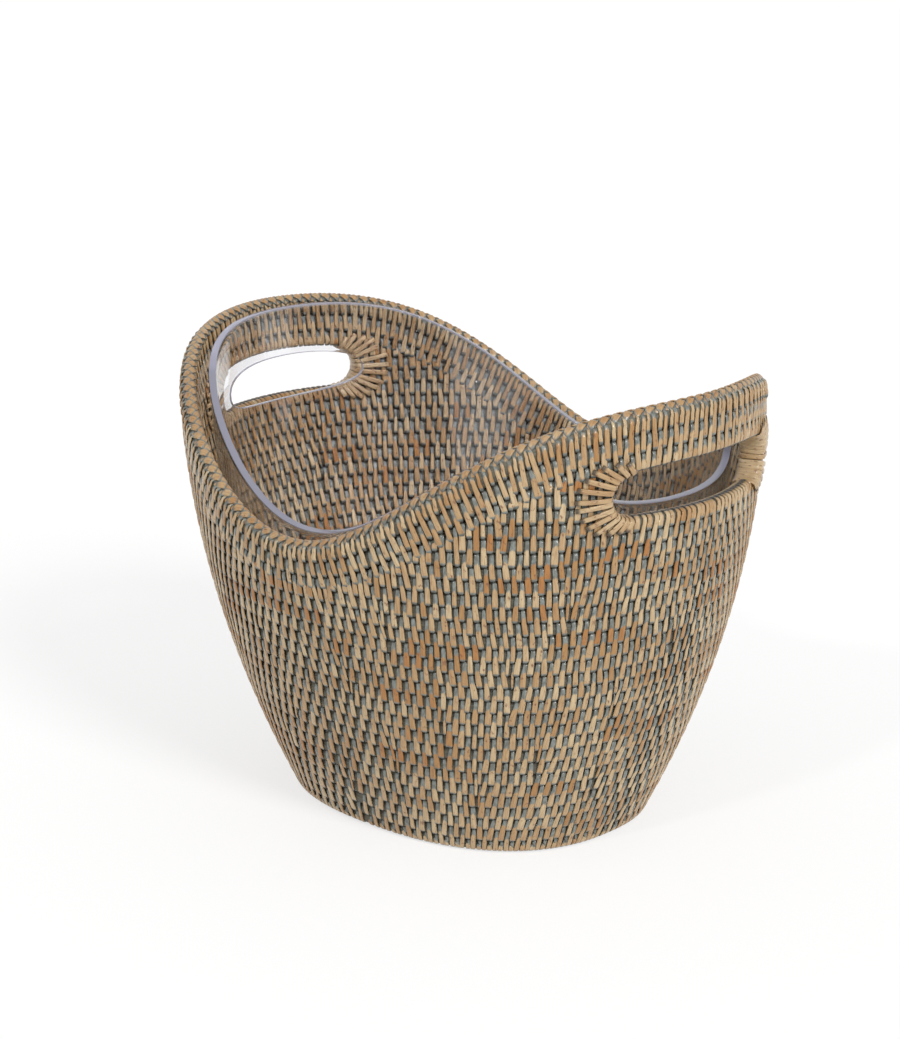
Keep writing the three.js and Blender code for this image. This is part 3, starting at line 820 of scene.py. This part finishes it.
# Each strip goes to and fro in nearly straight lines with sharp folds, over one strip and under the next.
sway = PLAIT_SWAY * np.arcsin(FOLD_SHARPNESS * np.cos(phase)) / np.arcsin(FOLD_SHARPNESS)
lift = PLAIT_RISE * np.sin(2 * phase) - PLAIT_DOME * (sway / PLAIT_SWAY) ** 2
backs = line + outward * sway[..., None] + upward * lift[..., None]
tilted = unit(upward + outward * (2 * PLAIT_DOME * sway / PLAIT_SWAY**2)[..., None])
strand_path = np.roll(backs, -1, axis=1) - np.roll(backs, 1, axis=1)
strand_widths = np.full(backs.shape[:2], PLAIT_STRIP_WIDTH)
points = strip_points(backs, np.cross(tilted, strand_path), strand_widths, is_ring=True)
leg = (phase / np.pi % 1)[..., None]  # from one fold to the next
from_fold = PLAIT_FOLD_SHIFT + PLAIT_LEG * leg
to_middle = np.maximum(PLAIT_LEG * (0.5 - leg), 0) + PLAIT_TICK
generator = np.random.default_rng(PLAIT_SEED)
tone_stops = np.linspace(0, plait_lengths[-1], PLAIT_TONE_STOPS)
stop_tones = [generator.uniform(*PLAIT_TONES, PLAIT_TONE_STOPS) for _ in range(PLAIT_STRANDS)]
strand_tones = np.stack([np.interp(reached, tone_stops, tones) for tones in stop_tones])[..., None]
seeds = (strand + reached / PLAIT_PERIOD / PLAIT_SEED_RUN)[..., None]
kinds = peel_kinds(strand_tones, seeds, PLAIT_GREY)
plait = add_peel("rim_plait_strips", points, peel_places(from_fold, to_middle), kinds, is_ring=True)
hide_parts("rim_plait")

# Fan lashings
# At each end of a hand hole strips of peel bind the cut ends of the canes. Each fans out from the hole over
# the woven wall outside, goes round a bent core of cane at the hole's edge, and fans out again inside.
FAN_STRIPS = 14
FAN_FIRST = -90.0  # degrees round the hole's end, from straight along the wall
FAN_LAST = 82.0
FAN_TURN_SPREAD = 1.2  # degrees
FAN_SPREAD = 0.68  # how far each strip turns with its place round the end
FAN_REACH = 0.0215
FAN_REACH_TURN = 0.8  # share of a strip's place round the end whose cosine shortens it
FAN_REACH_SPREAD = (0.92, 1.05)
FAN_EDGE_WIDTH = 0.0033
FAN_END_WIDTH = 0.0030
FAN_WIDTH_SPREAD = (0.93, 1.05)
FAN_BEND = 0.0045
FAN_NARROWING = 3 * FAN_BEND  # from the hole's edge to where a strip has its end's width
FAN_PROUD = 0.0011
FAN_TUCKS = np.array([0.0010, 0.0, 0.0])  # how deep the tip and the run of a strip lie
FAN_RUN = np.array([1.0, 0.7, 0.4])
FAN_TURN = np.radians(np.linspace(-90, 90, 7))
FAN_TONE = 0.18
FAN_TONE_SPREAD = 0.12
FAN_TONE_MOST = 0.6
FAN_CORE_HALF_HEIGHT = 0.0042
FAN_CORE_STEPS = 24
FAN_CORE_SEED = 7.0
PLAIN_END = 0.01  # metres to the end of a strip, for one whose end has no grey tip and no painted shade
end_share = share_across(HOLE_HALF_WIDTH, sill, CANE_INSET)
hole_radius = (grip_bottom(np.array([end_share]))[0] - sill) / 2
centre_share = share_across(HOLE_HALF_WIDTH - hole_radius, sill, CANE_INSET)
half_thickness = WOVEN_THICKNESS / 2 - STRIP_BACK_LOW + FAN_PROUD


def add_fan(end, side, middle_share, sign):
    """Strips that fan out from one end of a hand hole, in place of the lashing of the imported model."""
    generator = np.random.default_rng(sum(f"{end}{side}".encode()))
    turns = np.linspace(FAN_FIRST, FAN_LAST, FAN_STRIPS) + generator.normal(0, FAN_TURN_SPREAD, FAN_STRIPS)
    turns = np.radians(turns)[:, None]
    reach = FAN_REACH * np.cos(FAN_REACH_TURN * turns) * generator.uniform(*FAN_REACH_SPREAD, (FAN_STRIPS, 1))
    run = FAN_BEND + (reach - FAN_BEND) * FAN_RUN
    bend = np.broadcast_to(FAN_BEND * (1 - np.cos(FAN_TURN) ** cane_power), (FAN_STRIPS, len(FAN_TURN)))
    distances = np.concatenate([run, bend, run[:, ::-1]], axis=1)
    through = np.sign(np.sin(FAN_TURN)) * np.abs(np.sin(FAN_TURN)) ** cane_power * half_thickness
    offsets = np.concatenate([FAN_TUCKS - half_thickness, through, half_thickness - FAN_TUCKS[::-1]])
    insets = np.broadcast_to(WOVEN_THICKNESS / 2 + offsets, distances.shape)
    directions = FAN_SPREAD * turns
    aways = hole_radius * np.cos(turns) + distances * np.cos(directions)
    heights = sill + hole_radius + hole_radius * np.sin(turns) + distances * np.sin(directions)
    shares = middle_share + sign * (centre_share + aways / girth(heights))
    lines = wall_points(shares, heights, insets)
    step = 0.0003  # metres, to find which way lies across a strip
    side_heights = heights + step * np.cos(directions)
    side_shares = shares - sign * step * np.sin(directions) / girth(heights)
    aside = wall_points(side_shares, side_heights, insets) - lines
    narrowed = np.clip(distances / FAN_NARROWING, 0, 1)
    widths = FAN_EDGE_WIDTH + (FAN_END_WIDTH - FAN_EDGE_WIDTH) * narrowed
    widths = widths * generator.uniform(*FAN_WIDTH_SPREAD, (FAN_STRIPS, 1))
    points = strip_points(lines, -sign * aside, widths)
    places = peel_places(path_lengths(lines)[..., None], PLAIN_END)
    tones = np.clip(generator.normal(FAN_TONE, FAN_TONE_SPREAD, FAN_STRIPS), 0, FAN_TONE_MOST)
    kinds = peel_kinds(tones, generator.random(FAN_STRIPS), NO_WASH)[:, None, None]
    fan = add_peel(f"{end}_{side}_fan_strips", points, places, kinds)
    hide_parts(f"{end}_{side}_fan_lashing")


def add_lashing_core(end, side, middle_share, sign):
    """Cane bent round one end of a hand hole, under the lashing's strips."""
    turns = np.linspace(-np.pi / 2, np.pi / 2, FAN_CORE_STEPS)[:, None]
    radii = hole_radius + PEEL_THICKNESS + FAN_CORE_HALF_HEIGHT * (1 + cane_up)
    heights = sill + hole_radius + radii * np.sin(turns)
    shares = middle_share + sign * (centre_share + radii * np.cos(turns) / girth(heights))
    insets = CANE_INSET - sign * CANE_HALF_DEPTH * np.broadcast_to(cane_out, heights.shape)
    points = wall_points(shares, heights, insets)
    add_canes(f"{end}_{side}_lashing_core", points[None], [FAN_CORE_SEED], False)


for end, middle_share, front in ENDS:
    for side, sign in (("front", front), ("back", -front)):
        add_fan(end, side, middle_share, sign)
        add_lashing_core(end, side, middle_share, sign)

# Base binding
# Strips of peel over pairs of ovals, above and below, bind the base as they bind the wall.
BASE_TOP = 0.0083
BASE_STRIP_ROOM = 0.0036
BASE_STRIP_FILL = 0.9  # share of its room that a strip takes
BASE_DEPTH_SHARE = 0.6  # an oval is flatter than a wall cane is deep
LEAST_BASE_STRIPS = 8
OVALS_BOUND = 2
INNERMOST = OVAL_COUNT + 0.4  # in ovals, how far in the last strips go
BASE_SEED = 400
points = []
places = []
kinds = []
for ring in range(OVAL_COUNT):
    outer = CANE_INSET + OVAL_PITCH * (ring + 0.5)
    inner = CANE_INSET + OVAL_PITCH * min(ring + 0.5 + OVALS_BOUND, INNERMOST)
    loop = wall_point(table_angles, 0.0, (inner + outer) / 2, 0.0)
    lengths = path_lengths(loop[None])[0]
    count = max(int(lengths[-1] / (2 * BASE_STRIP_ROOM)), LEAST_BASE_STRIPS)
    generator = np.random.default_rng(BASE_SEED + ring)
    angles = np.interp((np.arange(count) + 0.5 * (ring % 2)) / count * lengths[-1], lengths, table_angles)
    tops = np.full(count, -outer)
    bottoms = np.full(count, -inner)
    bend = OVAL_PITCH / 2
    negative_insets, depths = strip_path(tops, bottoms, bend, bend, TUCK_REACH, TUCK_REACH)
    sunk = PEEL_THICKNESS + depths * BASE_DEPTH_SHARE
    widths = np.full(depths.shape, BASE_STRIP_ROOM * BASE_STRIP_FILL)
    tones = colour_runs(count, generator)
    beside = 0.002  # radians, to find which way the oval runs
    for surface, sign in ((BASE_TOP - sunk, 1), (sunk, -1)):
        lines = wall_point(angles[:, None], 0.0, -negative_insets, surface)
        turned = wall_point(angles[:, None] + beside, 0.0, -negative_insets, surface) - lines
        points.append(strip_points(lines, sign * turned, widths))
        places.append(peel_places((-negative_insets - outer)[..., None], PLAIN_END))
        kinds.append(peel_kinds(tones, generator.random(count), GREY_REACH / 2)[:, None, None])
add_peel("base_binding", np.concatenate(points), np.concatenate(places), np.concatenate(kinds))

# Liner
# A clear acrylic bucket, moulded in one piece, stands loose on the base. Its lip follows the saddle near the
# rim, and hand holes are cut through it in line with the basket's.
LINER_WALL = 0.0042
LINER_INSET = 0.0207  # from the basket's outer face to the middle of the liner's wall, at the high ends
LINER_SIDE_INSET = 0.0015  # more than that at the low sides
LINER_FLOOR = 0.0105
LINER_CORNER = 0.020
LINER_LIP_HIGH = 0.2782
LINER_LIP_LOW = 0.1985
LINER_FULLNESS = 2.89
LINER_LIP_TILT = 0.0026  # the lip is this much lower at the right end and higher at the left
LINER_COLUMNS = 160
LINER_WALL_ROWS = 40
LINER_HOLE_MIDDLE = 0.2362
LINER_HOLE_HALF_HEIGHT = 0.0136
LINER_HOLE_HALF_WIDTH = 0.059
LINER_HOLE_SQUARENESS = 2.5
LINER_HOLE_STEPS = 1600
LINER_HOLE_CORNERS = np.array([-3, -1, 1, 3, 5])  # eighths of a turn at which the quarters of its edge meet
LINER_EDGE_ROUNDING = 0.0013
LINER_EDGE_SEGMENTS = 3
LINER_EDGE_ANGLE = np.radians(50)  # least angle between faces that is rounded
FLOOR_RINGS = (0.2, 0.45, 0.7, 0.88)
CORNER_TURNS = np.radians((0, 18, 36, 54, 72))
BLOCK_COLUMNS = 13  # grid columns each side of a hole's middle that its own mesh replaces
BLOCK_ROWS = (28, 37)
COLLAR = np.array([0.0, 0.12, 0.28, 0.48, 0.72])  # rings from a hole's edge to the grid around it


def liner_points(shares, z, drawn_in=0.0, height=None):
    """Points of the middle of the liner's wall: the basket's wall set in, and more so at the corner."""
    height = z if height is None else height
    return wall_point(angle_at(shares), height, LINER_INSET + drawn_in, z, LINER_SIDE_INSET)


liner_shares = np.arange(LINER_COLUMNS) / LINER_COLUMNS
corner_top = LINER_FLOOR + LINER_CORNER
corner_ring = liner_points(liner_shares, LINER_FLOOR, LINER_CORNER, corner_top)
rows = [corner_ring * (share, share, 1) for share in FLOOR_RINGS]
for turn in CORNER_TURNS:
    rise = LINER_CORNER * (1 - np.cos(turn))
    drawn_in = LINER_CORNER * (1 - np.sin(turn))
    rows.append(liner_points(liner_shares, LINER_FLOOR + rise, drawn_in, corner_top))
lip = saddle(liner_shares, LINER_LIP_HIGH, LINER_LIP_LOW, LINER_FULLNESS)
lip = lip - LINER_LIP_TILT * np.cos(angle_at(liner_shares))
wall_rows = np.arange(LINER_WALL_ROWS + 1)[:, None] / LINER_WALL_ROWS
wall_heights = corner_top + (lip - corner_top) * wall_rows
first_wall_row = len(rows)
grid = np.concatenate([np.stack(rows), liner_points(liner_shares[None, :], wall_heights)])
row_count = len(grid)
index = np.arange(row_count * LINER_COLUMNS).reshape(row_count, LINER_COLUMNS)
right = np.roll(index, -1, axis=1)
quads = np.stack([index[:-1], right[:-1], right[1:], index[1:]], axis=-1)
keep = np.ones(quads.shape[:2], bool)
points = [grid.reshape(-1, 3), np.array([[0, 0, LINER_FLOOR]])]
at_edge = [np.repeat(np.arange(row_count) == row_count - 1, LINER_COLUMNS), np.array([False])]
collars = []
low_row, high_row = (first_wall_row + row for row in BLOCK_ROWS)
rows_up = np.arange(low_row, high_row + 1)
start = row_count * LINER_COLUMNS + 1
for _, middle_share, _ in ENDS:
    middle_column = round(middle_share * LINER_COLUMNS)
    block = (middle_column + np.arange(-BLOCK_COLUMNS, BLOCK_COLUMNS + 1)) % LINER_COLUMNS
    keep[low_row:high_row, block[:-1]] = False
    # The block's edge and the hole's edge are walked alike, by quarters: below, right, above, left.
    edge = np.concatenate(
        [
            index[low_row, block[:-1]],
            index[rows_up[:-1], block[-1]],
            index[high_row, block[:0:-1]],
            index[rows_up[:0:-1], block[0]],
        ]
    )
    fine = np.linspace(*LINER_HOLE_CORNERS[[0, -1]], LINER_HOLE_STEPS + 1) * np.pi / 4
    fine_out, fine_up = superellipse(fine, LINER_HOLE_SQUARENESS)
    fine_y = LINER_HOLE_HALF_WIDTH * fine_out
    fine_z = LINER_HOLE_MIDDLE + LINER_HOLE_HALF_HEIGHT * fine_up
    fine_length = path_lengths(np.stack([fine_y, fine_z], axis=-1)[None])[0]
    corners = np.interp(LINER_HOLE_CORNERS * np.pi / 4, fine, fine_length)
    counts = (len(block) - 1, len(rows_up) - 1, len(block) - 1, len(rows_up) - 1)
    walked = [np.linspace(*corners[i : i + 2], count + 1)[:-1] for i, count in enumerate(counts)]
    hole_y = np.interp(np.concatenate(walked), fine_length, fine_y)
    hole_z = np.interp(np.concatenate(walked), fine_length, fine_z)
    hole_shares = np.sign(hole_y) * share_across(np.abs(hole_y), hole_z, LINER_INSET + LINER_SIDE_INSET)
    edge_shares = (edge % LINER_COLUMNS) / LINER_COLUMNS - middle_share
    edge_shares = (edge_shares + 0.5) % 1.0 - 0.5
    edge_heights = grid.reshape(-1, 3)[edge][:, 2]
    collar_shares = hole_shares + (edge_shares - hole_shares) * COLLAR[:, None]
    collar_heights = hole_z + (edge_heights - hole_z) * COLLAR[:, None]
    collar = liner_points(middle_share + collar_shares, collar_heights)
    collar_index = start + np.arange(collar.shape[0] * collar.shape[1]).reshape(collar.shape[:2])
    start += collar_index.size
    points.append(collar.reshape(-1, 3))
    at_edge.append(np.repeat(COLLAR == 0, collar.shape[1]))
    ladder = np.concatenate([collar_index, edge[None, :]])
    ahead = np.roll(ladder, -1, axis=1)
    collars.append(np.stack([ladder[:-1], ladder[1:], ahead[1:], ahead[:-1]], axis=-1).reshape(-1, 4))

centre = np.full(LINER_COLUMNS, row_count * LINER_COLUMNS)
floor_fan = np.stack([centre, right[0], index[0]], axis=-1)
used_quads = np.concatenate([quads[keep], *collars])
used, remapped = np.unique(np.concatenate([used_quads.ravel(), floor_fan.ravel()]), return_inverse=True)
points = np.concatenate(points)[used]
at_edge = np.repeat(np.concatenate(at_edge)[used][:, None], 3, axis=1)
floor_fan = remapped[used_quads.size :].reshape(-1, 3)
used_quads = remapped[: used_quads.size].reshape(-1, 4)

# Clear acrylic, moulded and polished: colourless through the wall and lavender grey along the edges. Lamps
# shine through it, as they do through a thin clear wall.
ACRYLIC_TINT = "f7f7f9"
ACRYLIC_DEPTH_TINT = "ccccd4"
ACRYLIC_DENSITY = 8.0
ACRYLIC_SHADE = "d4d4dc"
ACRYLIC_EDGE = "b6b6ca"
ACRYLIC_IOR = 1.49
EDGE_TRANSMISSION = 0.45
EDGE_SPAN = (0.7, 0.95)  # of the way to a cut edge from the row of points beside it
SMEAR_SIZE = 0.036
SMEAR_DETAIL = 4.0
SMEAR_NOISE = (0.4, 0.75)
SMEAR_ROUGHNESS = (0.015, 0.05)  # clean and smeared
WAVE_SIZE = 0.045
WAVE_DETAIL = 1.0
WAVE_RELIEF = 0.05
WAVE_HEIGHT = 0.002
clear_acrylic, output = new_material("clear_moulded_acrylic")
spot = add_node(clear_acrylic, "ShaderNodeTexCoord", {}).outputs["Object"]
smears = noise(clear_acrylic, spot, SMEAR_DETAIL, 1 / SMEAR_SIZE)
waves = noise(clear_acrylic, spot, WAVE_DETAIL, 1 / WAVE_SIZE)
edge = add_node(clear_acrylic, "ShaderNodeAttribute", {}, attribute_name="cut_edge")
edge_share = ramp(clear_acrylic, edge.outputs["Fac"], EDGE_SPAN)
moulded = add_node(
    clear_acrylic,
    "ShaderNodeBsdfPrincipled",
    {
        "Base Color": blend(clear_acrylic, edge_share, linear(ACRYLIC_TINT), linear(ACRYLIC_EDGE)),
        "Roughness": ramp(clear_acrylic, smears, SMEAR_NOISE, *SMEAR_ROUGHNESS),
        "IOR": ACRYLIC_IOR,
        "Transmission Weight": ramp(clear_acrylic, edge_share, (0.0, 1.0), 1.0, EDGE_TRANSMISSION),
        "Normal": bump(clear_acrylic, waves, WAVE_RELIEF, WAVE_HEIGHT),
    },
)
lamp_light = add_node(clear_acrylic, "ShaderNodeBsdfTransparent", {"Color": linear(ACRYLIC_SHADE)})
ray = add_node(clear_acrylic, "ShaderNodeLightPath", {})
shader = add_node(
    clear_acrylic,
    "ShaderNodeMixShader",
    {0: ray.outputs["Is Shadow Ray"], 1: moulded.outputs[0], 2: lamp_light.outputs[0]},
)
depth_tint = add_node(
    clear_acrylic,
    "ShaderNodeVolumeAbsorption",
    {"Color": linear(ACRYLIC_DEPTH_TINT), "Density": ACRYLIC_DENSITY},
)
clear_acrylic.node_tree.links.new(shader.outputs[0], output.inputs[0])
clear_acrylic.node_tree.links.new(depth_tint.outputs[0], output.inputs[1])

liner = add_piece(
    "liner_shell", points, [used_quads, floor_fan], "liner", "acrylic", clear_acrylic, cut_edge=at_edge
)
wall = liner.modifiers.new("wall", "SOLIDIFY")
wall.thickness = LINER_WALL
wall.offset = 0
wall.use_even_offset = True
edges = liner.modifiers.new("edges", "BEVEL")
edges.width = LINER_EDGE_ROUNDING
edges.segments = LINER_EDGE_SEGMENTS
edges.limit_method = "ANGLE"
edges.angle_limit = LINER_EDGE_ANGLE
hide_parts("clear_liner")

# Studio
# A white floor under soft light from all round, with a broad lamp on the right and a small one for the glints
# of the varnish, and a camera at the photograph's angle.
FLOOR_HALF = 12.0
WHITE = "ffffff"
FLOOR_GLOW = 1.09  # white light that the camera sees from the floor, for full white where there is no shade
SHADOW_SHARE = 0.39  # how much of the floor's own light and shade the camera sees
SKY_STRENGTH = 0.56  # of its light on the object; the camera sees it as white
LAMPS = (
    ("broad_lamp", 1.45, 16.0, (0.80, -0.19, 0.56)),  # name, strength, spread in degrees, where it stands
    ("glint_lamp", 0.4, 5.0, (0.10, -0.75, 0.65)),
)
CAMERA_AZIMUTH = np.radians(43.0)
CAMERA_ELEVATION = np.radians(17.217)
CAMERA_DISTANCE = 1.6953
CAMERA_AIM = Vector((0, 0, 0.15))
CAMERA_LENS = 95.75  # millimetres, as is the sensor
CAMERA_SENSOR = 36.0
IMAGE_HEIGHT = 1039
IMAGE_WIDTH = 900
AIM_PIXEL = (469.28, 557.3)


def is_seen(material):
    """Socket that is one where the camera sees a surface straight, in gloss or through glass, else nought."""
    ray = add_node(material, "ShaderNodeLightPath", {})
    straight_or_gloss = maths(material, "MAXIMUM", ray.outputs["Is Camera Ray"], ray.outputs["Is Glossy Ray"])
    return maths(material, "MAXIMUM", straight_or_gloss, ray.outputs["Is Transmission Ray"])


# Matt white paper: the camera sees it as white, with a little of its own shade, so a soft shadow stays.
floor_white, output = new_material("matt_white_paper")
paper = add_node(floor_white, "ShaderNodeBsdfDiffuse", {"Color": linear(WHITE)})
white = add_node(floor_white, "ShaderNodeEmission", {"Color": linear(WHITE), "Strength": FLOOR_GLOW})
white_share = maths(floor_white, "MULTIPLY", is_seen(floor_white), 1 - SHADOW_SHARE)
surface = add_node(
    floor_white, "ShaderNodeMixShader", {0: white_share, 1: paper.outputs[0], 2: white.outputs[0]}
)
floor_white.node_tree.links.new(surface.outputs[0], output.inputs[0])

floor_mesh = bpy.data.meshes.new("studio_floor")
floor_corners = [(x * FLOOR_HALF, y * FLOOR_HALF, 0.0) for x, y in ((-1, -1), (1, -1), (1, 1), (-1, 1))]
floor_mesh.from_pydata(floor_corners, [], [(0, 1, 2, 3)])
floor_mesh.materials.append(floor_white)
floor = bpy.data.objects.new("studio_floor", floor_mesh)
bpy.context.scene.collection.objects.link(floor)

sky = bpy.data.worlds.new("studio_sky")
sky.use_nodes = True
sky_light = sky.node_tree.nodes["Background"]
sky_light.inputs["Color"].default_value = linear(WHITE)
brightness = ramp(sky, is_seen(sky), (0.0, 1.0), SKY_STRENGTH, 1.0)
sky.node_tree.links.new(brightness, sky_light.inputs["Strength"])
bpy.context.scene.world = sky

for name, strength, spread, stand in LAMPS:
    lamp = bpy.data.lights.new(name, "SUN")
    lamp.energy = strength
    lamp.angle = np.radians(spread)
    lamp_object = bpy.data.objects.new(name, lamp)
    lamp_object.rotation_euler = Vector(stand).to_track_quat("Z", "Y").to_euler()
    bpy.context.scene.collection.objects.link(lamp_object)

camera = bpy.data.cameras.new("photo_camera")
camera.lens = CAMERA_LENS
camera.sensor_width = CAMERA_SENSOR
camera.shift_x = (IMAGE_WIDTH / 2 - AIM_PIXEL[0]) / IMAGE_HEIGHT
camera.shift_y = (AIM_PIXEL[1] - IMAGE_HEIGHT / 2) / IMAGE_HEIGHT
camera_object = bpy.data.objects.new("photo_camera", camera)
away = Vector(
    (
        np.sin(CAMERA_AZIMUTH) * np.cos(CAMERA_ELEVATION),
        -np.cos(CAMERA_AZIMUTH) * np.cos(CAMERA_ELEVATION),
        np.sin(CAMERA_ELEVATION),
    )
)
camera_object.location = CAMERA_AIM + away * CAMERA_DISTANCE
camera_object.rotation_euler = away.to_track_quat("Z", "Y").to_euler()
bpy.context.scene.collection.objects.link(camera_object)
bpy.context.scene.camera = camera_object
bpy.context.scene.view_settings.view_transform = "Standard"
